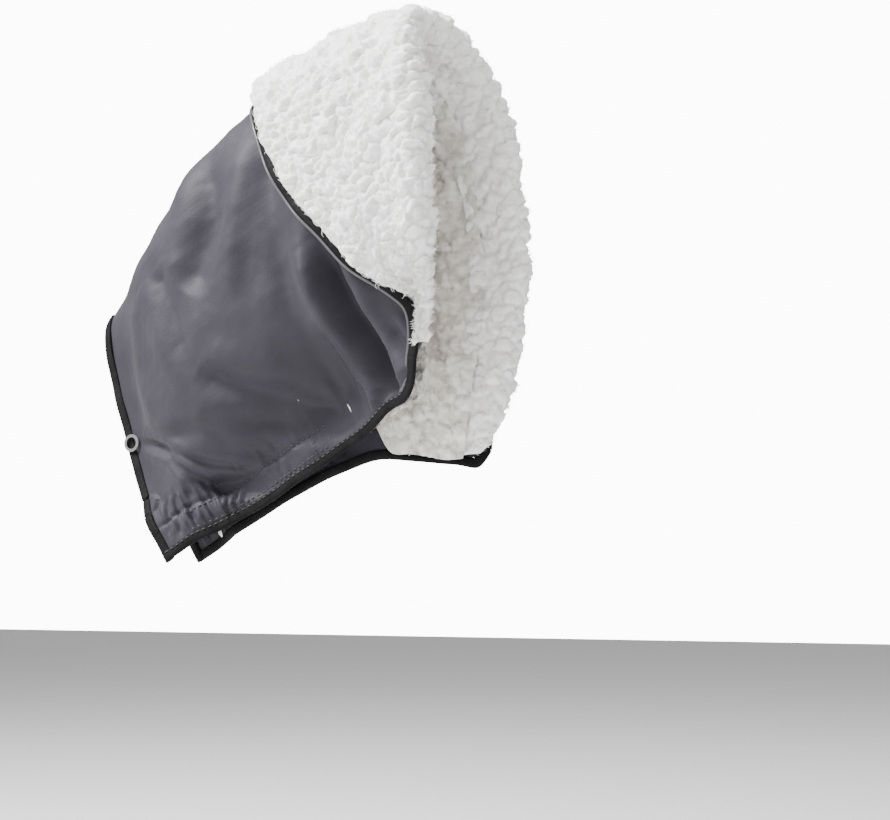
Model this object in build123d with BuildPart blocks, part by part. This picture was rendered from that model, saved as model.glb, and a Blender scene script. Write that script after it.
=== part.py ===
"""Hand warmer muff for a rollator handle: two fleece-lined halves sewn along a ridge.

The muff is a hood of cloth. Its ridge climbs from the front point over the handle to the mouth,
where the cloth is turned back outside as a fleece cuff. The front edges meet at a ring snap,
the lower edges meet at a hook-and-loop hem, and the handle tube leaves at the lower tip.

Frame, in millimetres: the origin is on the axis of the handle grip, in the plane of the mouth.
+X leaves the mouth towards the user, +Z is up, and +Y is the user's right-hand side.
"""

import os

from build123d import *

os.makedirs("parts", exist_ok=True)

# Cloth layers, as offsets outward (+) or inward (-) from the outer face of the shell cloth.
SHELL_LAYER = (-0.8, 0.0)
INTERLINING_LAYER = (-2.6, -1.1)
LINING_LAYER = (-8.4, -2.9)
STRIP_LAYER = (-4.1, -1.7)
TAPE_LAYER = (-3.6, 0.0)
CUFF_FACING_LAYER = (0.4, 1.2)
CUFF_TAPE_LAYER = (0.4, 4.4)
CUFF_FLEECE_LAYER = (1.6, 8.8)
ROLL_LAYER = (-8.4, 3.0)
LAYER_GAP = 0.2

TAPE_WIDTH = 9.0
FRONT_TAPE_WIDTH = 11.0
STRIP_WIDTH = 13.0
SEAM_GAP = 0.25
ROLL_DEPTH = 8.0
TRIM_REACH = 90.0
TRIM_FRONT = -230.0
TRIM_BACK = 90.0
TRIM_TOP = 150.0
TRIM_BOTTOM = -200.0
LEAN_FORWARD = -60.0
LEAN_BACKWARD = 25.0
SECTION_POINTS = 19

# The section, from the ridge to the hem: share of the depth, share of the half width, and share
# of the hem's half gap.
PROFILE = [
    (0.0, 0.0, 0.0),
    (0.015, 0.36, 0.0),
    (0.06, 0.70, 0.0),
    (0.14, 0.90, 0.0),
    (0.26, 0.99, 0.0),
    (0.42, 1.0, 0.03),
    (0.58, 0.92, 0.12),
    (0.71, 0.64, 0.38),
    (0.80, 0.24, 0.80),
    (0.86, 0.04, 0.98),
    (0.92, 0.0, 1.0),
    (1.0, 0.0, 1.0),
]


class Station:
    """One cross-section: its ridge point and its two hem points in side view, and its widths."""

    def __init__(self, ridge, left_hem, right_hem, half_width, left_gap, right_gap):
        self.numbers = (*ridge, *left_hem, *right_hem, half_width, left_gap, right_gap)
        self.ridge = ridge
        self.hem = {-1: left_hem, 1: right_hem}
        self.half_width = half_width
        self.gap = {-1: left_gap, 1: right_gap}

    @classmethod
    def from_numbers(cls, numbers):
        return cls(numbers[0:2], numbers[2:4], numbers[4:6], *numbers[6:])

    def depth(self, side):
        return (Vector(*self.hem[side]) - Vector(*self.ridge)).length

    def plane(self, side):
        """Local x is the row's Y, and local y runs from the ridge to the hem."""
        down = (Vector(*self.hem[side]) - Vector(*self.ridge)).normalized()
        origin = (self.ridge[0], 0, self.ridge[1])
        return Plane(origin=origin, x_dir=(0, 1, 0), z_dir=(down.Y, 0, -down.X))


MAIN_STATIONS = [
    Station((-199, -44), (-142, -169), (-147, -169), 5.0, 17, 17),
    Station((-188, -29), (-131, -163), (-136, -163), 6.6, 17, 17),
    Station((-167, -4), (-115, -153), (-118, -154), 22, 15, 15),
    Station((-144, 24), (-97, -145), (-98, -145), 33, 7, 7),
    Station((-108, 60), (-60, -125), (-58, -127), 39, 4.8, 4.8),
    Station((-64, 85), (-18, -102), (-18, -114), 43, 7, 7),
    Station((-14, 100), (20, -80), (14, -116), 46, 24, 26),
    Station((52, 113), (56, -58), (50, -112), 47, 34, 34),
]
STEPS = 3

# Side view, X and Z, from the bottom up: the front edge, the fold at the mouth, and the rim of the
# turned-back cuff.
FRONT = {
    -1: [(-133, -163), (-153, -135), (-171, -99), (-183, -64), (-190, -34)],
    1: [(-138, -163), (-156, -135), (-171, -99), (-183, -64), (-190, -34)],
}
FOLD = {
    -1: [(18, -82), (30, -64), (36, -38), (40, 15), (35, 62), (22, 102), (14, 122)],
    1: [(28, -118), (37, -98), (44, -58), (46, 0), (39, 60), (25, 102), (14, 122)],
}
RIM = {
    -1: [(27, -60), (24, -47), (8, -35), (-17, -9), (-48, 33), (-74, 78), (-83, 112)],
    1: [(35, -108), (22, -88), (2, -62), (-22, -22), (-50, 30), (-74, 78), (-83, 112)],
}

# Ring snap on the front tape. Its axis is along Y; distances are from the ridge plane.
SNAP_CENTRE = (-165.6, -99.0)
SNAP_RADIUS = 4.8
RING_HOLE_RADIUS = 3.2
RING_BACK = {-1: 7.0, 1: 7.9}
RING_HEIGHT = 1.1
RING_EDGE = 0.45
PLATE_BACK = 1.8
SOCKET_FRONT = 0.3
SOCKET_HOLE_RADIUS = 2.1
SOCKET_HOLE_DEPTH = 1.2
STUD_PLATE_FRONT = 1.0
STUD_RADIUS = 1.8
STUD_LENGTH = 1.9
STUD_EDGE = 0.3
PRONG_CIRCLE_RADIUS = 4.0
PRONG_RADIUS = 0.35
PRONG_HOLE_RADIUS = 0.45
PRONG_COUNT = 5

SIDE_NAMES = {-1: "left", 1: "right"}
STRIP_NAMES = {-1: "hook_strip", 1: "loop_strip"}


def smooth_stations(stations, steps):
    """Adds stations between the given ones, on a smooth curve through each of their numbers."""
    result = [stations[0]]
    for i in range(len(stations) - 1):
        before = stations[max(i - 1, 0)].numbers
        start = stations[i].numbers
        end = stations[i + 1].numbers
        after = stations[min(i + 2, len(stations) - 1)].numbers
        for step in range(1, steps + 1):
            t = step / steps
            numbers = [
                0.5 * (2 * b + (c - a) * t + (2 * a - 5 * b + 4 * c - d) * t**2
                       + (3 * b - a - 3 * c + d) * t**3)
                for a, b, c, d in zip(before, start, end, after)
            ]
            result.append(Station.from_numbers(numbers))
    return result


STATIONS = smooth_stations(MAIN_STATIONS, STEPS)
FRONT_STATIONS = STATIONS[:2 * STEPS + 1]
LINING_STATIONS = STATIONS[2 * STEPS:]
STRIP_STATIONS = STATIONS[2 * STEPS:5 * STEPS]
CUFF_STATIONS = STATIONS[3 * STEPS:]
ROLL_STATIONS = STATIONS[5 * STEPS:]


def outer_profile(station, side):
    """The shell's outer face in the section plane, as a spline from the ridge to the hem."""
    depth = station.depth(side)
    points = [
        (side * max(station.half_width * width + station.gap[side] * gap, SEAM_GAP), depth * down)
        for down, width, gap in PROFILE
    ]
    return Spline(*points, mode=Mode.PRIVATE)


def offset_points(profile, side, distance, start, end):
    """Points at a distance outside the profile, kept on their own side of the ridge plane."""
    points = []
    for i in range(SECTION_POINTS):
        share = start + (end - start) * i / (SECTION_POINTS - 1)
        along = profile % share
        point = profile @ share + Vector(along.Y, -along.X) * distance * side
        points.append((side * max(side * point.X, SEAM_GAP), point.Y))
    return points


def band(stations, side, layer, hem=0.0, width=None):
    """Lofts one layer of cloth, stopping hem short of the lower edge.

    It reaches up to the ridge, or is only width wide.
    """
    sections = []
    for station in stations:
        profile = outer_profile(station, side)
        top = 0.0 if width is None else profile.length - hem - width
        limits = (top / profile.length, 1 - hem / profile.length)
        with BuildSketch(station.plane(side)) as section:
            with BuildLine():
                outside = Spline(*offset_points(profile, side, layer[1], *limits))
                inside = Spline(*offset_points(profile, side, layer[0], *limits))
                Line(outside @ 0, inside @ 0)
                Line(outside @ 1, inside @ 1)
            make_face()
        sections.append(section.sketch)
    loft(sections)


def trim(side, curve, shift, end, lean, mode):
    """Cuts the part to the strip of the side view between a curve and a far end.

    The curve is moved back by shift. Below its lowest point it carries on with a lean. Whatever
    strays over the ridge plane goes too.
    """
    points = [(x + shift, z) for x, z in curve]
    bottom, top = points[0], points[-1]
    with BuildSketch(Plane.XZ.offset(-side * SEAM_GAP)) as side_view:
        with BuildLine():
            Spline(*points)
            Polyline(top, (top[0], TRIM_TOP), (end, TRIM_TOP), (end, TRIM_BOTTOM),
                     (bottom[0] + lean, TRIM_BOTTOM), bottom)
        make_face()
    extrude(side_view.sketch, amount=-side * TRIM_REACH, mode=mode)


def keep_before(side, curve, shift=0.0, mode=Mode.INTERSECT):
    """Keeps what lies in front of the fold or the rim moved back by shift, or cuts it away."""
    trim(side, curve, shift, TRIM_FRONT, LEAN_FORWARD, mode)


def keep_behind_front(side, shift=0.0, mode=Mode.INTERSECT):
    """Keeps what lies behind the front edge moved back by shift, or cuts it away."""
    trim(side, FRONT[side], shift, TRIM_BACK, LEAN_BACKWARD, mode)


def snap_plane(side, distance):
    """A plane across the snap's axis, facing outward on one side of the ridge plane."""
    origin = (SNAP_CENTRE[0], side * distance, SNAP_CENTRE[1])
    return Plane(origin=origin, x_dir=(1, 0, 0), z_dir=(0, side, 0))


def snap_disc(side, distance, radius, thickness, mode=Mode.ADD):
    """A disc on the snap's axis, growing outward from its inner face."""
    with BuildSketch(snap_plane(side, distance)) as disc:
        Circle(radius)
    extrude(disc.sketch, amount=thickness, mode=mode)


def snap_prongs(side, radius, mode=Mode.ADD):
    """The ring's prongs, or the holes they pierce, from the plate to the ring."""
    with BuildSketch(snap_plane(side, PLATE_BACK)) as prongs:
        with PolarLocations(PRONG_CIRCLE_RADIUS, PRONG_COUNT):
            Circle(radius)
    extrude(prongs.sketch, amount=RING_BACK[side] - PLATE_BACK, mode=mode)


def save(part, name):
    """Labels a finished piece and writes its STEP file."""
    part.label = name
    export_step(part, f"parts/{name}.step")


def build_body(side, name):
    """The shell, the interlining and the lining of one half, up to the roll at the mouth."""
    above_strip = TAPE_WIDTH + STRIP_WIDTH + 2 * LAYER_GAP
    with BuildPart() as shell:
        band(STATIONS, side, SHELL_LAYER, hem=TAPE_WIDTH + LAYER_GAP)
        keep_behind_front(side, FRONT_TAPE_WIDTH + LAYER_GAP)
        keep_before(side, FOLD[side], -ROLL_DEPTH)
    save(shell.part, f"{name}_shell")
    with BuildPart() as interlining:
        band(LINING_STATIONS, side, INTERLINING_LAYER, hem=above_strip)
        keep_before(side, FOLD[side], -ROLL_DEPTH)
    save(interlining.part, f"{name}_interlining")
    with BuildPart() as lining:
        band(LINING_STATIONS, side, LINING_LAYER, hem=above_strip)
        keep_before(side, FOLD[side], -ROLL_DEPTH)
    save(lining.part, f"{name}_lining")


def build_edges(side, name):
    """The bias tape on the front and lower edges, and the fastener strip above the lower tape."""
    with BuildPart() as front_binding:
        band(FRONT_STATIONS, side, TAPE_LAYER)
        keep_behind_front(side)
        keep_behind_front(side, FRONT_TAPE_WIDTH, mode=Mode.SUBTRACT)
        snap_prongs(side, PRONG_HOLE_RADIUS, mode=Mode.SUBTRACT)
    save(front_binding.part, f"{name}_front_binding")
    with BuildPart() as hem_binding:
        band(STATIONS, side, TAPE_LAYER, width=TAPE_WIDTH)
        keep_behind_front(side, FRONT_TAPE_WIDTH + LAYER_GAP)
        keep_before(side, FOLD[side], -ROLL_DEPTH)
    save(hem_binding.part, f"{name}_hem_binding")
    with BuildPart() as strip:
        band(STRIP_STATIONS, side, STRIP_LAYER, hem=TAPE_WIDTH + LAYER_GAP, width=STRIP_WIDTH)
    save(strip.part, STRIP_NAMES[side])


def build_cuff(side, name):
    """The cloth turned back at the mouth: its facing, its bound rim and its fleece."""
    with BuildPart() as facing:
        band(CUFF_STATIONS, side, CUFF_FACING_LAYER)
        keep_before(side, FOLD[side], -ROLL_DEPTH - LAYER_GAP)
        keep_before(side, RIM[side], TAPE_WIDTH, mode=Mode.SUBTRACT)
    save(facing.part, f"{name}_cuff_facing")
    with BuildPart() as binding:
        band(CUFF_STATIONS, side, CUFF_TAPE_LAYER)
        keep_before(side, FOLD[side])
        keep_before(side, RIM[side], TAPE_WIDTH - LAYER_GAP)
        keep_before(side, RIM[side], mode=Mode.SUBTRACT)
    save(binding.part, f"{name}_cuff_binding")
    with BuildPart() as fleece:
        band(CUFF_STATIONS, side, CUFF_FLEECE_LAYER)
        keep_before(side, FOLD[side])
        keep_before(side, RIM[side], TAPE_WIDTH, mode=Mode.SUBTRACT)
        with BuildPart(mode=Mode.PRIVATE) as roll:
            band(ROLL_STATIONS, side, ROLL_LAYER)
            keep_before(side, FOLD[side])
            keep_before(side, FOLD[side], LAYER_GAP - ROLL_DEPTH, mode=Mode.SUBTRACT)
            keep_before(side, RIM[side], TAPE_WIDTH, mode=Mode.SUBTRACT)
        add(roll.part)
    save(fleece.part, f"{name}_cuff_fleece")


def build_snap(side, name):
    """The pronged ring on the outside, and the socket or the stud plate on the inside."""
    with BuildPart() as ring:
        snap_disc(side, RING_BACK[side], SNAP_RADIUS, RING_HEIGHT)
        snap_disc(side, RING_BACK[side], RING_HOLE_RADIUS, RING_HEIGHT, mode=Mode.SUBTRACT)
        fillet(ring.edges().filter_by(GeomType.CIRCLE).group_by(Axis.Y)[side], RING_EDGE)
        snap_prongs(side, PRONG_RADIUS)
    save(ring.part, f"{name}_snap_ring")


for half_side, half_name in SIDE_NAMES.items():
    build_body(half_side, half_name)
    build_edges(half_side, half_name)
    build_cuff(half_side, half_name)
    build_snap(half_side, half_name)

with BuildPart() as snap_socket:
    snap_disc(-1, SOCKET_FRONT, SNAP_RADIUS, PLATE_BACK - SOCKET_FRONT)
    snap_disc(-1, SOCKET_FRONT, SOCKET_HOLE_RADIUS, SOCKET_HOLE_DEPTH, mode=Mode.SUBTRACT)
save(snap_socket.part, "snap_socket")

with BuildPart() as snap_stud:
    snap_disc(1, STUD_PLATE_FRONT, SNAP_RADIUS, PLATE_BACK - STUD_PLATE_FRONT)
    snap_disc(1, STUD_PLATE_FRONT - STUD_LENGTH, STUD_RADIUS, STUD_LENGTH)
    fillet(snap_stud.edges().sort_by(Axis.Y)[0], STUD_EDGE)
save(snap_stud.part, "snap_stud")
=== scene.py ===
"""The looks of the hand warmer muff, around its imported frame.

Lengths inside the script are millimetres in the frame's axes; meshes are made in metres. The cloth
lies on one surface, the hood: it is a family of sections from the front point to the mouth, each
running from the ridge down to the hem. Every piece is a strip or patch of that surface.
"""

import math

import bpy
import numpy as np
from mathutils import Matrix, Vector, kdtree


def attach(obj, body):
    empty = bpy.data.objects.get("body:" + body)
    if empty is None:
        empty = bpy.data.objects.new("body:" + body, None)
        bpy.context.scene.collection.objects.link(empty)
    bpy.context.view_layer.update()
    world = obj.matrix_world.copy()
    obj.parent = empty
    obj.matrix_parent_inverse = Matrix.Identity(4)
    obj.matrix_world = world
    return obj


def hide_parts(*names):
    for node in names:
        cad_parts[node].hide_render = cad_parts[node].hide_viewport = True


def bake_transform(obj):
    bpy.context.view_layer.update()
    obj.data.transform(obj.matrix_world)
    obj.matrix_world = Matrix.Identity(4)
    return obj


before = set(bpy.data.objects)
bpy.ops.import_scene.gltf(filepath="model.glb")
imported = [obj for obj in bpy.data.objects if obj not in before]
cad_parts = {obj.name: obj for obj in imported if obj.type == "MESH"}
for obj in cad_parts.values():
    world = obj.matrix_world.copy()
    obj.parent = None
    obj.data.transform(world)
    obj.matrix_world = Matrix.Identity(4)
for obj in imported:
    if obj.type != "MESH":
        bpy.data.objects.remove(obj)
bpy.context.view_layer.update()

MM = 0.001
LEFT, RIGHT = -1, 1
SIDES = {LEFT: "left", RIGHT: "right"}

# The hood's sections from the front to the mouth: ridge x, z; left hem x, z; right hem x, z; half
# width; half gap at the left hem and at the right hem.
SECTIONS = np.array([
    (-199, -44, -142, -169, -147, -169, 5.0, 17, 17),
    (-188, -29, -131, -163, -136, -163, 6.6, 17, 17),
    (-167, -4, -115, -153, -118, -154, 22, 15, 15),
    (-144, 24, -97, -145, -98, -145, 33, 7, 7),
    (-108, 60, -60, -125, -58, -127, 39, 4.8, 4.8),
    (-64, 85, -18, -102, -18, -114, 43, 7, 7),
    (-14, 100, 20, -80, 14, -116, 46, 24, 26),
    (52, 113, 56, -58, 50, -112, 47, 34, 34),
], float)

# A section from the ridge to the hem: share of the depth, of the half width, and of the half gap.
# The first row mirrors the ridge, so that the crown is round.
PROFILE = np.array([
    (0.015, -0.36, 0.0),
    (0.0, 0.0, 0.0),
    (0.015, 0.36, 0.0),
    (0.06, 0.70, 0.0),
    (0.14, 0.90, 0.0),
    (0.26, 0.99, 0.0),
    (0.42, 1.0, 0.03),
    (0.58, 0.92, 0.12),
    (0.71, 0.64, 0.38),
    (0.80, 0.24, 0.80),
    (0.86, 0.04, 0.98),
    (0.92, 0.0, 1.0),
    (1.0, 0.0, 1.0),
])

# Side-view curves, from the bottom up: the front edge, the fold at the mouth, and the edge of the
# outer cloth, which turns the rear corner and then runs up under the cuff.
FRONT = {
    LEFT: [(-133, -163), (-153, -135), (-171, -99), (-183, -64), (-190, -34)],
    RIGHT: [(-138, -163), (-156, -135), (-171, -99), (-183, -64), (-190, -34)],
}
FOLD = {
    LEFT: [(18, -82), (30, -64), (36, -38), (40, 15), (35, 62), (22, 102), (14, 122)],
    RIGHT: [(28, -118), (37, -98), (44, -58), (46, 0), (39, 60), (25, 102), (14, 122)],
}
EDGE = {
    LEFT: [(8, -88), (16, -78), (19, -68), (21, -60), (21.5, -51), (21, -44), (18.5, -39), (13, -34),
           (5, -28.5), (-7, -20), (-20, -5.5), (-37, 12), (-51, 32), (-61.5, 53), (-72, 73), (-81, 92),
           (-90, 113)],
    RIGHT: [(25, -116), (31, -108), (30, -100), (24, -90), (2, -62), (-22, -22), (-51, 29), (-66, 60),
            (-77, 82), (-90, 113)],
}


def smooth_rows(table, t):
    """Catmull-Rom through a table's rows; t counts rows and may be any array."""
    last = len(table) - 1
    i = np.clip(np.floor(t).astype(int), 0, last - 1)
    f = (t - i)[..., None]
    a, b, c, d = (table[np.clip(i + k, 0, last)] for k in (-1, 0, 1, 2))
    return 0.5 * (2 * b + (c - a) * f + (2 * a - 5 * b + 4 * c - d) * f**2
                  + (3 * b - a - 3 * c + d) * f**3)


def profile_positions():
    """The profile's row position for evenly spaced lengths from the ridge to the hem."""
    rows = np.linspace(1, len(PROFILE) - 1, 600)
    shape = smooth_rows(PROFILE, rows)
    line = np.stack([shape[:, 0] * 185, shape[:, 1] * 40 + shape[:, 2] * 8], 1)
    steps = np.linalg.norm(np.diff(line, axis=0), axis=1)
    length = np.concatenate([[0], np.cumsum(steps)])
    return length / length[-1], rows


EVEN_SHARES, EVEN_ROWS = profile_positions()
LAST_SECTION = len(SECTIONS) - 1.0


def hood(t, w):
    """Points of the hood. t runs over the sections; |w| runs from ridge to hem, negative on the left."""
    t, w = np.broadcast_arrays(np.asarray(t, float), np.asarray(w, float))
    row = smooth_rows(SECTIONS, t)
    shape = smooth_rows(PROFILE, np.interp(np.abs(w), EVEN_SHARES, EVEN_ROWS))
    left = w < 0
    hem_x = np.where(left, row[..., 2], row[..., 4])
    hem_z = np.where(left, row[..., 3], row[..., 5])
    gap = np.where(left, row[..., 7], row[..., 8])
    x = row[..., 0] + (hem_x - row[..., 0]) * shape[..., 0]
    z = row[..., 1] + (hem_z - row[..., 1]) * shape[..., 0]
    y = np.where(left, -1, 1) * (row[..., 6] * shape[..., 1] + gap * shape[..., 2])
    return np.stack([x, y, z], -1)


def hood_frame(t, w):
    """Outward normals of the hood, and its unit direction towards the mouth."""
    dt, dw = 1e-3, 1e-3
    along = hood(t + dt, w) - hood(t - dt, w)
    across = hood(t, w + dw) - hood(t, w - dw)
    normal = np.cross(across, along)
    normal /= np.linalg.norm(normal, axis=-1, keepdims=True) + 1e-12
    row = smooth_rows(SECTIONS, np.broadcast_arrays(t, w)[0])
    middle_x, middle_z = (row[..., 0] + row[..., 2]) / 2, (row[..., 1] + row[..., 3]) / 2
    centre = np.stack([middle_x, 0 * middle_x, middle_z], -1)
    outward = np.sum(normal * (hood(t, w) - centre), -1, keepdims=True)
    normal = np.where(outward < 0, -normal, normal)
    along /= np.linalg.norm(along, axis=-1, keepdims=True) + 1e-12
    return normal, along


def curve_x(curve, z, shift=0.0):
    """The x of a side-view curve at height z, moved towards the mouth by shift."""
    points = smooth_rows(np.array(curve, float), np.linspace(0, len(curve) - 1, 80))
    return np.interp(z, points[:, 1], points[:, 0]) + shift


def crossing(curves, w, shift=0.0):
    """For each w, the t at which the hood crosses a side-view curve."""
    t = np.linspace(0, LAST_SECTION, 500)
    result = []
    for value in np.atleast_1d(w):
        points = hood(t, np.full_like(t, value))
        curve = curves[LEFT if value < 0 else RIGHT]
        ahead = points[:, 0] - curve_x(curve, points[:, 2], shift)
        inside = np.argmax(ahead >= 0) if (ahead >= 0).any() else len(t) - 1
        if inside == 0:
            result.append(0.0)
            continue
        share = ahead[inside - 1] / (ahead[inside - 1] - ahead[inside])
        result.append(t[inside - 1] + (t[1] - t[0]) * float(np.clip(share, 0, 1)))
    return np.array(result)


def waves(points, size, seed, count=24):
    """Smooth noise from -1 to 1: a sum of waves about size long in random directions."""
    rng = np.random.default_rng(seed)
    direction = rng.normal(size=(count, points.shape[-1]))
    direction /= np.linalg.norm(direction, axis=1, keepdims=True)
    rate = 2 * np.pi / (size * rng.uniform(0.7, 1.5, count))
    phase = rng.uniform(0, 2 * np.pi, count)
    total = np.zeros(points.shape[:-1])
    for d, r, p in zip(direction, rate, phase):
        total += np.sin(points @ (d * r) + p)
    return total * 1.4 / math.sqrt(count)


def distance_to_line(xz, line):
    """Distance to a side-view polyline, and how far along it the nearest point is, 0 to 1."""
    line = np.array(line, float)
    nearest = np.full(xz.shape[:-1], 1e9)
    place = np.zeros(xz.shape[:-1])
    runs = len(line) - 1
    for i in range(runs):
        start, run = line[i], line[i + 1] - line[i]
        share = np.clip(((xz - start) @ run) / (run @ run), 0, 1)
        gap = np.linalg.norm(xz - start - share[..., None] * run, axis=-1)
        place = np.where(gap < nearest, (i + share) / runs, place)
        nearest = np.minimum(nearest, gap)
    return nearest, place


# ---------------------------------------------------------------------------------------- meshes


def new_object(name, vertices, faces, material):
    """A mesh object from millimetre vertices."""
    mesh = bpy.data.meshes.new(name)
    mesh.from_pydata((np.asarray(vertices) * MM).tolist(), [], [list(face) for face in faces])
    mesh.update()
    mesh.shade_smooth()
    mesh.materials.append(material)
    obj = bpy.data.objects.new(name, mesh)
    bpy.context.scene.collection.objects.link(obj)
    return obj


def grid_faces(rows, columns, closed=False):
    """Quads over a grid of rows by columns; closed joins the last column to the first."""
    index = np.arange(rows * columns).reshape(rows, columns)
    if closed:
        index = np.concatenate([index, index[:, :1]], 1)
    return np.stack([index[:-1, :-1], index[1:, :-1], index[1:, 1:], index[:-1, 1:]], -1).reshape(-1, 4)


def grid_object(name, points, material):
    """A mesh object from a grid of millimetre points."""
    rows, columns = points.shape[:2]
    return new_object(name, points.reshape(-1, 3), grid_faces(rows, columns), material)


def tube(path, normals, section):
    """Sweeps a closed section, given as (sideways, outward) offsets, along a path."""
    tangent = np.gradient(path, axis=0)
    tangent /= np.linalg.norm(tangent, axis=1, keepdims=True) + 1e-12
    sideways = np.cross(tangent, normals)
    sideways /= np.linalg.norm(sideways, axis=1, keepdims=True) + 1e-12
    section = np.asarray(section, float)
    if section.ndim == 2:
        section = np.broadcast_to(section, (len(path),) + section.shape)
    return (path[:, None] + sideways[:, None] * section[..., 0:1] + normals[:, None] * section[..., 1:2])


def capped_tube(name, path, normals, section, material):
    """A swept section with closed ends."""
    points = tube(path, normals, section)
    rows, columns = points.shape[:2]
    first_ring = list(range(columns))
    last_ring = [(rows - 1) * columns + i for i in reversed(first_ring)]
    faces = grid_faces(rows, columns, closed=True).tolist() + [first_ring, last_ring]
    return new_object(name, points.reshape(-1, 3), faces, material)


# ------------------------------------------------------------------------------------- materials


def material(name, base_color, roughness, **sockets):
    """A Principled material; returns it with its node tree and shader node."""
    made = bpy.data.materials.new(name)
    made.use_nodes = True
    shader = made.node_tree.nodes["Principled BSDF"]
    shader.inputs["Base Color"].default_value = (*base_color, 1)
    shader.inputs["Roughness"].default_value = roughness
    for key, value in sockets.items():
        shader.inputs[key.replace("_", " ")].default_value = value
    return made, made.node_tree, shader


def noise_node(tree, scale, detail=4.0, stretch=(1, 1, 1)):
    coordinates = tree.nodes.new("ShaderNodeTexCoord")
    mapping = tree.nodes.new("ShaderNodeMapping")
    mapping.inputs["Scale"].default_value = stretch
    noise = tree.nodes.new("ShaderNodeTexNoise")
    noise.inputs["Scale"].default_value = scale
    noise.inputs["Detail"].default_value = detail
    tree.links.new(coordinates.outputs["Object"], mapping.inputs["Vector"])
    tree.links.new(mapping.outputs["Vector"], noise.inputs["Vector"])
    return noise


def weave_node(tree, thread_mm):
    """The height of a plain weave: two crossed bands of threads."""
    coordinates = tree.nodes.new("ShaderNodeTexCoord")
    heights = []
    for turn in (0.6, 0.6 + math.pi / 2):
        mapping = tree.nodes.new("ShaderNodeMapping")
        mapping.inputs["Rotation"].default_value = (0, turn, 0)
        wave = tree.nodes.new("ShaderNodeTexWave")
        wave.inputs["Scale"].default_value = 1000 / thread_mm / 20
        wave.inputs["Distortion"].default_value = 0.4
        wave.inputs["Detail"].default_value = 1.0
        tree.links.new(coordinates.outputs["Object"], mapping.inputs["Vector"])
        tree.links.new(mapping.outputs["Vector"], wave.inputs["Vector"])
        heights.append(wave.outputs["Fac"])
    product = tree.nodes.new("ShaderNodeMath")
    product.operation = "MULTIPLY"
    tree.links.new(heights[0], product.inputs[0])
    tree.links.new(heights[1], product.inputs[1])
    return product.outputs["Value"]


def color_between(tree, shader, factor, dark, light, low=0.35, high=0.65):
    ramp = tree.nodes.new("ShaderNodeValToRGB")
    ramp.color_ramp.elements[0].position = low
    ramp.color_ramp.elements[1].position = high
    ramp.color_ramp.elements[0].color = (*dark, 1)
    ramp.color_ramp.elements[1].color = (*light, 1)
    tree.links.new(factor, ramp.inputs["Fac"])
    tree.links.new(ramp.outputs["Color"], shader.inputs["Base Color"])


def bump(tree, shader, height, distance_mm, strength=1.0):
    node = tree.nodes.new("ShaderNodeBump")
    node.inputs["Strength"].default_value = strength
    node.inputs["Distance"].default_value = distance_mm * MM
    tree.links.new(height, node.inputs["Height"])
    if shader.inputs["Normal"].links:
        tree.links.new(shader.inputs["Normal"].links[0].from_socket, node.inputs["Normal"])
    tree.links.new(node.outputs["Normal"], shader.inputs["Normal"])


def shell_material():
    """Grey woven polyester with a satin sheen."""
    made, tree, shader = material("shell_fabric", (0.026, 0.024, 0.032), 0.6,
                                  Sheen_Weight=0.04, Sheen_Roughness=0.4, Specular_IOR_Level=0.16)
    patches = noise_node(tree, 28, 3)
    color_between(tree, shader, patches.outputs["Fac"], (0.026, 0.0238, 0.0312), (0.033, 0.0302, 0.039))
    bump(tree, shader, weave_node(tree, 0.45), 0.05, 0.5)
    ripple = noise_node(tree, 210, 3, (1, 1, 0.35))
    bump(tree, shader, ripple.outputs["Fac"], 0.35, 0.35)
    return made


def fleece_material(name, dark, light):
    """Off-white curly pile; random darker, warmer patches stand in as painted shade between curls."""
    made, tree, shader = material(name, light, 0.95, Sheen_Weight=0.35, Sheen_Roughness=0.6,
                                  Specular_IOR_Level=0.2)
    shade_patches = noise_node(tree, 160, 3)
    color_between(tree, shader, shade_patches.outputs["Fac"], dark, light, 0.3, 0.6)
    fibres = noise_node(tree, 900, 5)
    bump(tree, shader, fibres.outputs["Fac"], 0.6, 0.7)
    return made


def tape_material():
    """Black bias tape, a fine twill with worn, slightly lighter patches."""
    made, tree, shader = material("binding_tape", (0.005, 0.005, 0.006), 0.75, Specular_IOR_Level=0.12)
    patches = noise_node(tree, 120, 4)
    color_between(tree, shader, patches.outputs["Fac"], (0.0022, 0.0022, 0.0025), (0.006, 0.006, 0.0065))
    bump(tree, shader, weave_node(tree, 0.6), 0.12, 0.8)
    return made


def thread_material(name, base_color, roughness):
    made, tree, shader = material(name, base_color, roughness, Specular_IOR_Level=0.3)
    twist = noise_node(tree, 1500, 2)
    bump(tree, shader, twist.outputs["Fac"], 0.1, 0.6)
    return made


def metal_material():
    """Bright plated metal with faint scratches."""
    made, tree, shader = material("snap_plating", (0.86, 0.86, 0.87), 0.22, Metallic=1.0)
    scratches = noise_node(tree, 800, 4, (1, 1, 6))
    bump(tree, shader, scratches.outputs["Fac"], 0.03, 0.4)
    return made


def hook_loop_material():
    made, tree, shader = material("hook_loop_tape", (0.006, 0.006, 0.007), 0.85, Specular_IOR_Level=0.15)
    fuzz = noise_node(tree, 1200, 3)
    color_between(tree, shader, fuzz.outputs["Fac"], (0.004, 0.004, 0.0045), (0.012, 0.012, 0.013))
    bump(tree, shader, fuzz.outputs["Fac"], 0.5, 0.9)
    return made


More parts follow.
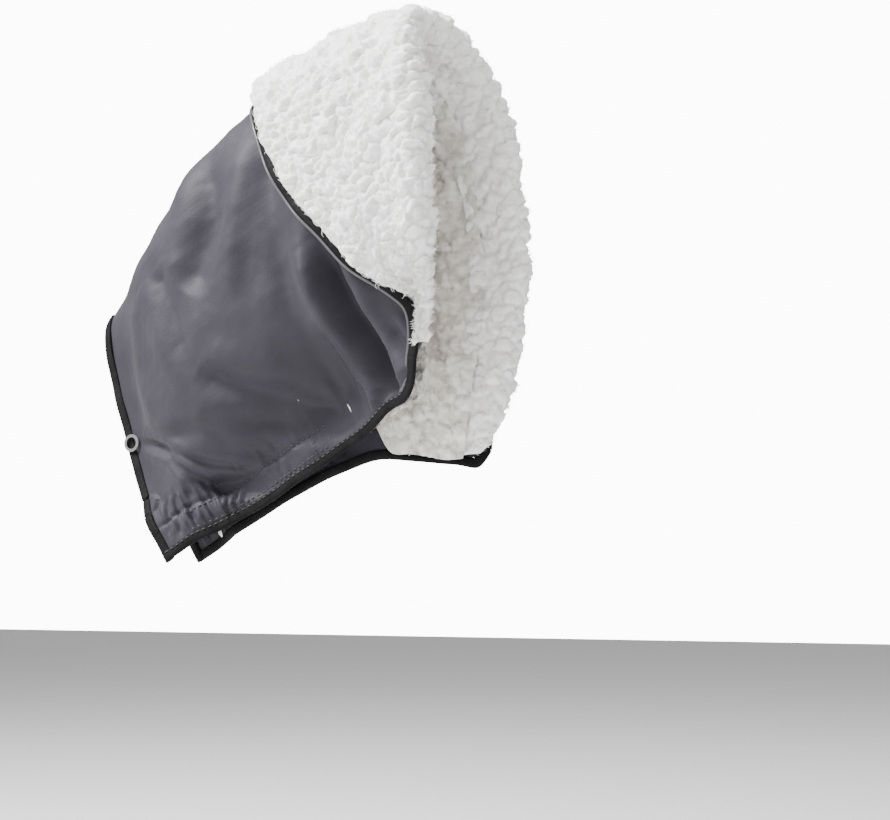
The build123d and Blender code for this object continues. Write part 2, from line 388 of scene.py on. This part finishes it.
SHELL = shell_material()
# The pile's darker tone is painted shade for the hollows between the curls.
FLEECE = fleece_material("sherpa_pile", (0.78, 0.765, 0.735), (0.93, 0.925, 0.91))
# The lining is the same sherpa as the cuff in darker, warmer colours: painted shade for the inside of the
# muff.
SHADED_LINING_PILE = fleece_material("sherpa_lining_painted_shade", (0.50, 0.46, 0.40), (0.80, 0.77, 0.71))
CURL = fleece_material("sherpa_curl", (0.86, 0.85, 0.83), (0.95, 0.945, 0.93))
TAPE = tape_material()
THREAD = thread_material("grey_thread", (0.05, 0.05, 0.053), 0.55)
# A lighter grey satin for the bead along the tape's edge: a painted highlight where the black tape
# catches the light.
HIGHLIGHT_BEAD = thread_material("painted_highlight_bead", (0.075, 0.073, 0.08), 0.3)
METAL = metal_material()
HOOK_LOOP = hook_loop_material()


# ----------------------------------------------------------------------------------------- shell

# Folds in the shell, in side view: line, half width, depth (negative is a ridge), all millimetres.
FOLDS = [
    ([(-24, -8), (-18, -31), (-12, -47), (-5, -62), (1, -76), (5, -90)], 5.4, 10.0),
    ([(-38, -12), (-32, -34), (-22, -64), (-14, -84)], 6.0, -3.2),
    ([(-7, -78), (1, -97)], 3.0, 2.6),
    ([(3, -82), (8, -93)], 2.4, 2.0),
    ([(-30, -51), (-19, -99)], 3.4, 1.6),
    ([(-36, -69), (-27, -99)], 2.6, 1.2),
    ([(-19, -72), (-11, -100)], 2.8, 1.6),
    ([(-104, -66), (-87, -75), (-60, -84), (-27, -99)], 7.5, 5.0),
    ([(-98, -90), (-67, -93), (-44, -105)], 5.0, 2.8),
    ([(-158, -99), (-133, -105), (-110, -112), (-86, -115)], 2.4, 2.0),
    ([(-156, -101), (-133, -108), (-116, -121), (-98, -129)], 2.6, 2.2),
    ([(-157, -96), (-134, -99), (-117, -97), (-94, -95)], 4.5, 1.6),
    ([(-112, -124), (-91, -124), (-77, -125)], 5.5, 5.0),
    ([(-101, -129), (-99, -145)], 1.3, 2.0),
    ([(-97, -127), (-94, -143)], 1.2, 2.2),
    ([(-93, -126), (-90, -141)], 1.3, 1.8),
    ([(-137, -130), (-131, -150)], 1.8, 1.8),
    ([(-130, -127), (-124, -149)], 1.6, 1.6),
    ([(-122, -124), (-117, -144)], 1.8, 1.5),
    ([(-100, 50), (-94, 12), (-100, -6), (-109, -26)], 10.0, 4.6),
    ([(-70, 50), (-76, 10), (-78, -34)], 8.0, -2.6),
    ([(-132, -10), (-121, -30), (-111, -60)], 7.0, 3.2),
    ([(-150, -20), (-152, -60), (-140, -90)], 9.0, -2.2),
    ([(14, -44), (25, -60)], 2.4, 1.6),
    ([(8, -50), (22, -74)], 2.6, 1.8),
    ([(-56, 40), (-50, 0), (-44, -44)], 7.0, 2.6),
]
HEM_BAND_TOP = 19.0
HEM_STITCH = 7.0
HEM_BAND_END = 4.6


def shell_offset(points, t, w):
    """How far the cloth stands off the hood: folds, puckers at the hem, and soft wrinkles."""
    xz = points[..., [0, 2]]
    right = points[..., 1] > 0
    xz = np.where(right[..., None], xz + np.array([7.0, -3.0]), xz)
    offset = np.zeros(points.shape[:-1])
    for line, half_width, depth in FOLDS:
        gap, place = distance_to_line(xz, line)
        ends = np.clip(np.minimum(place, 1 - place) * 5 + 0.25, 0, 1)
        offset -= depth * ends * np.exp(-(gap / half_width) ** 2)
        offset += 0.35 * depth * ends * np.exp(-((gap - 1.9 * half_width) / half_width) ** 2)
    row = smooth_rows(SECTIONS, t)
    left = w < 0
    hem_x, hem_z = np.where(left, row[..., 2], row[..., 4]), np.where(left, row[..., 3], row[..., 5])
    hem = np.stack([hem_x, hem_z], -1)
    depth = np.linalg.norm(hem - row[..., 0:2], axis=-1)
    from_hem = np.linalg.norm(points[..., [0, 2]] - hem, axis=-1)
    along = points[..., 0] * 0.86 + points[..., 2] * 0.5
    pucker = waves(np.stack([along, from_hem * 0.12], -1), 3.6, 5)
    band = np.exp(-((from_hem - 13) / 7.0) ** 4)
    above = np.exp(-((from_hem - HEM_BAND_TOP - 5) / 6.0) ** 2)
    closed = 1 / (1 + np.exp((t - HEM_BAND_END) * 14))
    offset += closed * pucker * (0.55 * band + 0.5 * above)
    offset -= closed * 1.3 * np.exp(-((from_hem - HEM_BAND_TOP) / 1.3) ** 2)
    offset += closed * 0.7 * np.exp(-((from_hem - 13) / 5.0) ** 2)
    offset += 0.7 * waves(points, 60, 11) + 0.22 * waves(points, 22, 12) + 0.05 * waves(points, 6, 13)
    calm = np.clip(depth * np.abs(w) / 10, 0.25, 1) * np.clip((from_hem - 4) / 6, 0.05, 1)
    front = np.where(left, curve_x(FRONT[LEFT], points[..., 2]), curve_x(FRONT[RIGHT], points[..., 2]))
    calm = calm * np.clip((points[..., 0] - front - 5) / 9, 0.05, 1)
    room = np.where(np.abs(w) > 0.4, np.maximum(np.abs(points[..., 1]) - 3.4, 0.3), 20)
    return np.maximum(offset * calm, -room)


def build_shell():
    w = np.linspace(-0.985, 0.985, 381)
    start, end = crossing(FRONT, w, 2.0), crossing(EDGE, w)
    share = np.linspace(0, 1, 170)[:, None]
    t = start + (end - start) * share
    w = np.broadcast_to(w, t.shape)
    points = hood(t, w)
    normals, _ = hood_frame(t, w)
    offset = shell_offset(points, t, w)
    points = points + normals * offset[..., None]
    shell = grid_object("shell", points, SHELL)
    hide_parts("left_shell", "right_shell", "left_interlining", "right_interlining")
    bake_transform(shell)
    return shell


# ---------------------------------------------------------------------------------------- fleece

ROW_SPACING = 6.4
TUFT_LENGTH = 7.8
CUFF_GRAIN = np.array([0.84, 0.0, 0.54])
LINING_GRAIN = np.array([0.80, 0.0, -0.60])


def tuft_seeds(base, normals, seed):
    """Tufts over a grid of points in jittered rows; returns places and normals."""
    rng = np.random.default_rng(seed)
    down = np.linalg.norm(np.diff(base, axis=0), axis=-1).sum(0).mean()
    across = np.linalg.norm(np.diff(base, axis=1), axis=-1).sum(1).mean()
    rows, columns = max(2, int(down / TUFT_LENGTH)), max(2, int(across / ROW_SPACING))
    i, j = np.meshgrid(np.arange(rows), np.arange(columns), indexing="ij")
    a = (i + 0.5 * (j % 2) + 0.2 + rng.uniform(-0.32, 0.32, i.shape)) / rows
    b = (j + 0.5 + rng.uniform(-0.32, 0.32, i.shape)) / columns
    r = np.clip((a * (base.shape[0] - 1)).astype(int), 0, base.shape[0] - 1).ravel()
    c = np.clip((b * (base.shape[1] - 1)).astype(int), 0, base.shape[1] - 1).ravel()
    return base[r, c], normals[r, c]


def raise_tufts(base, normals, places, grain, height, seed):
    """Lifts a grid of points into rounded tufts, long in the direction of the grain."""
    rng = np.random.default_rng(seed)
    size = rng.uniform(0.55, 1.15, len(places))

    def shortened(points):
        return points - 0.38 * np.sum(points * grain, -1, keepdims=True) * grain

    tree = kdtree.KDTree(len(places))
    for i, place in enumerate(shortened(places)):
        tree.insert(Vector(place), i)
    tree.balance()
    swirl = np.stack([waves(base, 9, seed + 3 + k) for k in range(3)], -1) * 1.1
    flat = shortened(base + swirl).reshape(-1, 3)
    lift = np.zeros(len(flat))
    for k, point in enumerate(flat):
        first, second = tree.find_n(Vector(point), 2)
        dome = 1 - (first[2] / 5.6) ** 2
        lift[k] = size[first[1]] * (0.55 * (1 - math.exp(-(second[2] - first[2]) / 1.5)) + 0.45 * dome)
    lift = lift.reshape(base.shape[:2]) * height
    lift += 0.24 * waves(base, 3.0, seed + 1) + 0.1 * waves(base, 1.6, seed + 7)
    lift += 0.9 * waves(base, 24, seed + 2)
    return base + normals * lift[..., None]


def fuzz(name, points, count, grain, radius, body, seed):
    """Fine curly fibres standing out of a piled surface, as thin three-sided tubes."""
    rng = np.random.default_rng(seed)
    rows, columns = points.shape[:2]
    r = rng.integers(2, rows - 2, count)
    c = rng.integers(2, columns - 2, count)
    place = points[r, c]
    normal = np.cross(points[r + 1, c] - points[r - 1, c], points[r, c + 1] - points[r, c - 1])
    normal /= np.linalg.norm(normal, axis=1, keepdims=True) + 1e-9
    lean = 0.8 * grain + rng.normal(scale=0.8, size=(count, 3))
    lean -= normal * np.sum(lean * normal, 1, keepdims=True)
    lean /= np.linalg.norm(lean, axis=1, keepdims=True) + 1e-9
    side = np.cross(normal, lean)
    length = rng.uniform(1.6, 3.8, (count, 1))
    rise = rng.uniform(0.2, 1.0, (count, 1))
    curl = rng.uniform(0.2, 0.7, (count, 1)) * rng.choice([-1, 1], (count, 1))
    phase = rng.uniform(0, 2 * np.pi, (count, 1))
    rings, corners = 5, 3
    vertices = []
    for k in range(rings):
        s = k / (rings - 1)
        centre = (place + lean * s * length + normal * (rise * math.sin(2.2 * s) - 0.15)
                  + side * curl * (np.sin(s * 4.0 + phase) - np.sin(phase)))
        for corner in range(corners):
            angle = 2 * math.pi * corner / corners
            spoke = math.cos(angle) * normal + math.sin(angle) * side
            vertices.append(centre + radius * (1 - 0.6 * s) * spoke)
    vertices = np.stack(vertices, 1).reshape(-1, 3)
    ring = np.arange(rings - 1)[:, None] * corners
    corner = np.arange(corners)[None]
    beside = (corner + 1) % corners
    quads = np.stack([ring + corner, ring + beside, ring + corners + beside, ring + corners + corner], -1)
    quads = quads.reshape(-1, 4)
    faces = (np.arange(count)[:, None, None] * rings * corners + quads).reshape(-1, 4)
    piece = new_object(name, vertices, faces, CURL)
    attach(piece, body)


def fuzz_both_sides(name, points, count, grain, seed):
    """Fibres for a piled surface that spans both halves; each half carries its own."""
    middle = int(np.argmax(points[points.shape[0] // 2, :, 1] > 0))
    fuzz(f"left_{name}", points[:, :middle], count, grain, 0.17, "left_half", seed)
    fuzz(f"right_{name}", points[:, middle:], count, grain, 0.17, "right_half", seed + 1)


CUFF_PILE = 6.4
INNER_PILE = -6.6
PILE_HEIGHT = 4.4


def cuff_grid(w):
    """The cuff's base: out from under the rim, over the outside, round the fold and inside."""
    fold = crossing(FOLD, w, -8.0)
    low = np.where(w < 0, -hood(fold, w)[:, 2] - 22, -hood(fold, w)[:, 2] - 70)
    rim = crossing(EDGE, w, 2.6) + np.clip(low / 20, 0, 1) * 0.14
    rim = np.minimum(rim, fold - 0.02)
    fold_height = hood(fold, w)[:, 2]
    taper = np.where(w < 0, (fold_height + 78) / 60, (fold_height + 118) / 30)
    taper = np.clip(taper, 0.2, 1)[:, None]
    points, normals = [], []
    for share in np.linspace(0, 1, 92):
        t = rim + (fold - rim) * share
        normal, along = hood_frame(t, w)
        rounding = min(1.0, math.sqrt(share / 0.06))
        lift = 1.2 + (CUFF_PILE - 1.2) * rounding + 2.0 * rounding * (1 - share) ** 2
        points.append(hood(t, w) + normal * lift * taper)
        normals.append(normal)
    normal, along = hood_frame(fold, w)
    middle = hood(fold, w) + normal * (CUFF_PILE + INNER_PILE) / 2 * taper
    radius = (CUFF_PILE - INNER_PILE) / 2 * taper
    for angle in np.linspace(0, math.pi, 26)[1:]:
        direction = math.cos(angle) * normal + math.sin(angle) * along
        points.append(middle + radius * direction)
        normals.append(direction)
    for step in np.linspace(0, 0.35, 20)[1:]:
        normal, along = hood_frame(fold - step, w)
        points.append(hood(fold - step, w) + normal * INNER_PILE * taper)
        normals.append(-normal)
    return np.stack(points), np.stack(normals)


def build_cuff():
    w = np.concatenate([np.linspace(-0.925, 0, 240), np.linspace(0, 0.98, 250)[1:]])
    base, normals = cuff_grid(w)
    places, _ = tuft_seeds(base, normals, 21)
    points = raise_tufts(base, normals, places, CUFF_GRAIN, PILE_HEIGHT, 22)
    cuff = grid_object("cuff_fleece", points, FLEECE)
    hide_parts("left_cuff_fleece", "right_cuff_fleece", "left_cuff_facing", "right_cuff_facing")
    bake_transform(cuff)
    fuzz_both_sides("cuff_fibres", points, 7500, CUFF_GRAIN, 30)


LINING_ROOM = (11.0, 6.0)


def lining_reach(t, side):
    """How far down the lining goes: to the hem at the mouth, less where the hems nearly meet."""
    w = np.linspace(0.3, 0.99, 120)
    reach = []
    for value in t:
        room = np.abs(hood(np.full_like(w, value), w * side)[:, 1])
        needed = float(np.interp(value, (4.6, 5.4), LINING_ROOM))
        narrow = np.argmax(room < needed) if (room < needed).any() else len(w) - 1
        reach.append(w[narrow])
    return np.array(reach)


def build_lining():
    across = np.concatenate([np.linspace(-1, 0, 190), np.linspace(0, 1, 190)[1:]])
    fold = crossing(FOLD, across * 0.93, -9.0) - 0.2
    share = np.linspace(0, 1, 150)[:, None]
    t = 2.3 + (fold - 2.3) * share
    middle = t[:, len(across) // 2]
    left, right = (smoothed(lining_reach(middle, side), 12)[:, None] for side in SIDES)
    w = np.where(across < 0, across * left, across * right)
    normals, _ = hood_frame(t, w)
    outer = hood(t, w)
    thin = np.clip((np.abs(outer[..., 1]) - 3.0) / 14, 0.2, 1)
    thin = np.where(np.abs(w) < 0.3, 1, thin)
    sunk = np.minimum(shell_offset(outer, t, w) - 0.8, 0) * np.clip((6.6 - t) / 0.4, 0, 1)
    room = np.where(np.abs(w) < 0.3, 99, np.abs(outer[..., 1]) - 3.4 - 1.1 * PILE_HEIGHT * thin)
    base = outer - normals * np.minimum(-INNER_PILE * thin - sunk, np.maximum(room, 0.3))[..., None]
    normals = -normals
    places, _ = tuft_seeds(base, normals, 41)
    piled = raise_tufts(base, normals, places, LINING_GRAIN, PILE_HEIGHT, 42)
    points = base + (piled - base) * thin[..., None]
    # The lining's darker pile colours are painted shade.
    lining = grid_object("fleece_lining", points, SHADED_LINING_PILE)
    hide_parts("left_lining", "right_lining")
    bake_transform(lining)
    fuzz_both_sides("lining_fibres", points[60:], 5000, LINING_GRAIN, 50)


# --------------------------------------------------------------------------------- tape and seams


def trim(piece, body=None):
    """Fixes a piece to a body if one is given; otherwise it does nothing."""
    if body:
        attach(piece, body)


TAPE_SECTION = [(-2.7, 0.2), (-2.4, 0.8), (-1.0, 1.05), (1.0, 1.05), (2.4, 0.8), (2.7, 0.2),
                (2.4, -0.9), (1.0, -1.3), (-1.0, -1.3), (-2.4, -0.9)]


def wavy(path, amount, seed):
    """Lets a taped edge wander a little, as sewn cloth does."""
    step = np.linalg.norm(np.diff(path, axis=0, prepend=path[:1]), axis=1).cumsum()
    drift = np.stack([waves(np.stack([step, step * 0 + k], -1), 34, seed + k) for k in range(3)], -1)
    return path + drift * amount


def stitch_line(name, path, normals, body, spacing=3.4, length=2.2, lift=0.25, thickness=0.28):
    """Dashes of thread along a path."""
    step = np.linalg.norm(np.diff(path, axis=0, prepend=path[:1]), axis=1).cumsum()
    starts = np.arange(1.0, step[-1] - length, spacing)
    vertices, faces = [], []
    corners, rings = 5, 5
    for start in starts:
        places = start + np.linspace(0, length, rings)
        centre = np.stack([np.interp(places, step, path[:, k]) for k in range(3)], -1)
        normal = np.stack([np.interp(places, step, normals[:, k]) for k in range(3)], -1)
        rise = lift * np.sin(np.linspace(0, math.pi, rings))
        centre = centre + normal * rise[:, None]
        angle = np.linspace(0, 2 * math.pi, corners, endpoint=False)
        size = thickness * np.array([0.3, 0.9, 1.0, 0.9, 0.3])
        section = np.stack([np.outer(size, np.cos(angle)), np.outer(size, np.sin(angle))], -1)
        ring = tube(centre, normal, section).reshape(-1, 3)
        faces.append(grid_faces(rings, corners, closed=True) + len(vertices) * rings * corners)
        vertices.append(ring)
    trim(new_object(name, np.concatenate(vertices), np.concatenate(faces), THREAD), body)


def build_front_binding():
    """The bias tape down both front edges, in one piece over the ridge."""
    w = np.concatenate([np.linspace(-1, 0, 120), np.linspace(0, 1, 120)[1:]])
    t = crossing(FRONT, w, 3.0)
    path, normals = hood(t, w), hood_frame(t, w)[0]
    path = wavy(path + normals * 0.2, 0.25, 61)
    piece = capped_tube("front_tape", path, normals, TAPE_SECTION, TAPE)
    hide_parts("left_front_binding", "right_front_binding")
    trim(piece)
    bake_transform(piece)


def side_view_lookup(side):
    """A finder that gives the hood's t and w at a side-view point on one side."""
    t, w = np.meshgrid(np.linspace(0.4, LAST_SECTION, 260), np.linspace(0.0, 1.0, 240), indexing="ij")
    points = hood(t, w * side)
    tree = kdtree.KDTree(t.size)
    for i, (x, _, z) in enumerate(points.reshape(-1, 3)):
        tree.insert((x, 0, z), i)
    tree.balance()
    t, w = t.ravel(), w.ravel() * side

    def find(x, z):
        near = [tree.find_n((a, 0, b), 4) for a, b in zip(x, z)]
        weight = [np.array([1 / (n[2] + 0.05) for n in found]) for found in near]
        index = [np.array([n[1] for n in found]) for found in near]
        return (np.array([(t[i] * g).sum() / g.sum() for i, g in zip(index, weight)]),
                np.array([(w[i] * g).sum() / g.sum() for i, g in zip(index, weight)]))

    return find


def smoothed(values, passes=6):
    """Averages each value with its neighbours, passes times over."""
    for _ in range(passes):
        inner = (values[:-2] + 2 * values[1:-1] + values[2:]) / 4
        values = np.concatenate([values[:1], inner, values[-1:]])
    return values


HEM_STEPS = 200
RIM_START = 215
RIM_LIFT = 1.9
HIGHLIGHT_START = 205
HIGHLIGHT_END = -12
RIGHT_CORNER = 232
LEFT_CORNER_POINT = 35


def build_edges(side):
    """Bias tape round the hem, the rear corner and the rim of the cuff, with stitches and a painted
    highlight bead.
    """
    name, body = SIDES[side], f"{SIDES[side]}_half"
    find = side_view_lookup(side)
    line = smooth_rows(np.array(EDGE[side], float), np.linspace(0, len(EDGE[side]) - 1, 260))
    t, w = find(line[:, 0], line[:, 1])
    t, w = smoothed(t, 12), smoothed(w, 12)
    rim, rim_normals = hood(t, w), hood_frame(t, w)[0]
    keep = np.abs(rim[:, 1]) > 0.4
    rim, rim_normals = rim[keep], rim_normals[keep]

    front = crossing(FRONT, np.array([side * 0.97]), 2.0)[0]
    last = t[0] - 0.12
    t = np.linspace(front, last, HEM_STEPS)
    w = np.full_like(t, side * 0.985)
    hem, hem_normals = hood(t, w), hood_frame(t, w)[0]
    path = smoothed(np.concatenate([hem, rim]), 30)
    normals = smoothed(np.concatenate([hem_normals, rim_normals]), 20)
    normals /= np.linalg.norm(normals, axis=1, keepdims=True)
    above_corner = path[:, 2] > line[LEFT_CORNER_POINT, 1]
    corner = max(int(np.argmax(above_corner)), RIM_START) if side == LEFT else RIGHT_CORNER

    lift = np.clip((np.arange(len(path)) - RIM_START) / 20, 0, 1)[:, None] * RIM_LIFT
    path = wavy(path, 0.3, 70 + side) + normals * lift
    lower = slice(0, corner + 1)
    hem_tape = capped_tube(f"{name}_hem_tape", path[lower], normals[lower], TAPE_SECTION, TAPE)
    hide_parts(f"{name}_hem_binding")
    rim_tape = capped_tube(f"{name}_rim_tape", path[corner:], normals[corner:], TAPE_SECTION, TAPE)
    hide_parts(f"{name}_cuff_binding")

    tangent = np.gradient(path, axis=0)
    tangent /= np.linalg.norm(tangent, axis=1, keepdims=True) + 1e-12
    inward = np.cross(normals, tangent) * -side
    angles = np.linspace(0, 2 * math.pi, 10, endpoint=False)
    bead = [(0.75 * math.cos(a), 0.6 * math.sin(a)) for a in angles]
    run = slice(HIGHLIGHT_START, HIGHLIGHT_END)
    # The bead is lighter grey than the tape and the shell: a painted highlight along the tape's edge.
    line = (path + inward * 3.1 + normals * 0.55)[run]
    highlight_bead = capped_tube(f"{name}_piping", line, normals[run], bead, HIGHLIGHT_BEAD)
    for piece in (hem_tape, rim_tape, highlight_bead):
        trim(piece, body)
    stitched = path + inward * 1.7 + normals * 1.0
    stitch_line(f"{name}_edge_stitches", stitched[:225], normals[:225], body)


def build_hem_stitches(side):
    """Two rows of thread that hold the fastener strip."""
    name, body = SIDES[side], f"{SIDES[side]}_half"
    t = np.linspace(1.9, HEM_BAND_END - 0.05, 200)
    for row, height in (("upper", HEM_BAND_TOP), ("lower", HEM_STITCH + 1.0)):
        w = np.full_like(t, side * (1 - height / 215.0))
        points, normals = hood(t, w), hood_frame(t, w)[0]
        offset = shell_offset(points, t, w)
        path = points + normals * (offset + 0.15)[:, None]
        stitch_line(f"{name}_{row}_hem_stitches", path, normals, body, lift=0.3)


def build_strip(side):
    """The hook or loop tape behind the hem."""
    name, node = SIDES[side], {LEFT: "hook_strip", RIGHT: "loop_strip"}[side]
    t = np.linspace(2.0, 4.6, 120)[:, None]
    w = side * np.linspace(0.9, 0.955, 14)[None]
    t, w = np.broadcast_arrays(t, w)
    normals, _ = hood_frame(t, w)
    base = hood(t, w)
    sunk = np.minimum(shell_offset(base, t, w), 0)
    depth = np.maximum(sunk - 3.0, 1.6 - np.abs(base[..., 1]))
    points = base + normals * (depth + 0.2 * waves(base, 1.6, 81 + side))[..., None]
    strip = grid_object(node + "_tape", points, HOOK_LOOP)
    solid = strip.modifiers.new("thickness", "SOLIDIFY")
    solid.thickness = 1.0 * MM
    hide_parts(node)
    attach(strip, f"{name}_half")


def dress_snap():
    """Plates the snap's four parts, which keep their modelled shapes."""
    for node in ("left_snap_ring", "right_snap_ring", "snap_socket", "snap_stud"):
        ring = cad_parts[node]
        ring.data.materials.clear()
        ring.data.materials.append(METAL)


# ---------------------------------------------------------------------------------------- studio

FLOOR_Z = -420.0
FLOOR_REACH = 6000.0


def build_floor():
    """A wide pale floor below the muff."""
    made, _, _ = material("pale_floor", (0.86, 0.86, 0.86), 0.9)
    corners = [(-1, -1), (1, -1), (1, 1), (-1, 1)]
    vertices = [(x * FLOOR_REACH, y * FLOOR_REACH, FLOOR_Z) for x, y in corners]
    new_object("floor", vertices, [(0, 1, 2, 3)], made)


def area_light(name, place, target, power, size):
    """A square soft light, aimed at a target."""
    data = bpy.data.lights.new(name, "AREA")
    data.energy = power
    data.size = size
    light = bpy.data.objects.new(name, data)
    light.location = place
    light.rotation_euler = (Vector(target) - Vector(place)).to_track_quat("-Z", "Y").to_euler()
    bpy.context.scene.collection.objects.link(light)


def build_studio():
    """White surroundings, brighter to the eye than as light, and three soft lights."""
    world = bpy.data.worlds.new("studio")
    world.use_nodes = True
    tree = world.node_tree
    background = tree.nodes["Background"]
    background.inputs["Color"].default_value = (1, 1, 1, 1)
    seen = tree.nodes.new("ShaderNodeLightPath")
    strength = tree.nodes.new("ShaderNodeMapRange")
    strength.inputs["To Min"].default_value = 0.5
    strength.inputs["To Max"].default_value = 12.0
    tree.links.new(seen.outputs["Is Camera Ray"], strength.inputs["Value"])
    tree.links.new(strength.outputs["Result"], background.inputs["Strength"])
    bpy.context.scene.world = world
    middle = (-0.07, 0, -0.01)
    area_light("key", (-0.75, -0.75, 1.0), middle, 85, 0.45)
    area_light("front_fill", (0.7, -1.3, 0.35), middle, 9, 0.9)
    area_light("top", (0.15, 0.2, 1.4), middle, 24, 0.9)


def build_camera():
    """A camera near the user's hip, looking up at the muff's left side."""
    data = bpy.data.cameras.new("camera")
    data.lens = 62.13
    data.sensor_width = 36
    camera = bpy.data.objects.new("camera", data)
    camera.location = (0.3712, -0.6688, -0.1764)
    looking = Vector((-0.4587, 0.8812, 0.1138))
    camera.rotation_euler = looking.to_track_quat("-Z", "Y").to_euler()
    bpy.context.scene.collection.objects.link(camera)
    bpy.context.scene.camera = camera


build_camera()
build_studio()
build_floor()
shell = build_shell()
build_cuff()
build_lining()
build_front_binding()
for chosen in SIDES:
    build_edges(chosen)
    build_hem_stitches(chosen)
    build_strip(chosen)
dress_snap()
